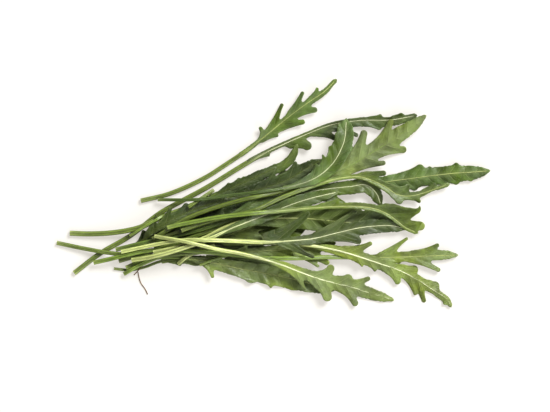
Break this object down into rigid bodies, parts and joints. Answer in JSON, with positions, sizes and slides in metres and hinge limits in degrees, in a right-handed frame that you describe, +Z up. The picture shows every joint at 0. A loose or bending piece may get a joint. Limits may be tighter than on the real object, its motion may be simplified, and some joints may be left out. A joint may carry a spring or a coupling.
{
  "type": "bunch of rocket leaves",
  "caption": "Loose bunch of fresh wild rocket lying flat: long cut stalks cross at one end and toothed, lobed green leaves fan out at the other.",
  "frame": {"origin": "centre of the whole bunch's box seen from above, on the surface it lies on", "axes": "+X from the cut stalk ends to the leaf tips, +Y across the bunch to the upper leaves, +Z up"},
  "size_m": [0.2162, 0.1138, 0.016],
  "materials": {
    "leaf": "fresh green leaf, satin, with paler stalks and veins"
  },
  "bodies": {
    "root": {"rocket_bunch": "leaf"}
  },
  "joints": []
}
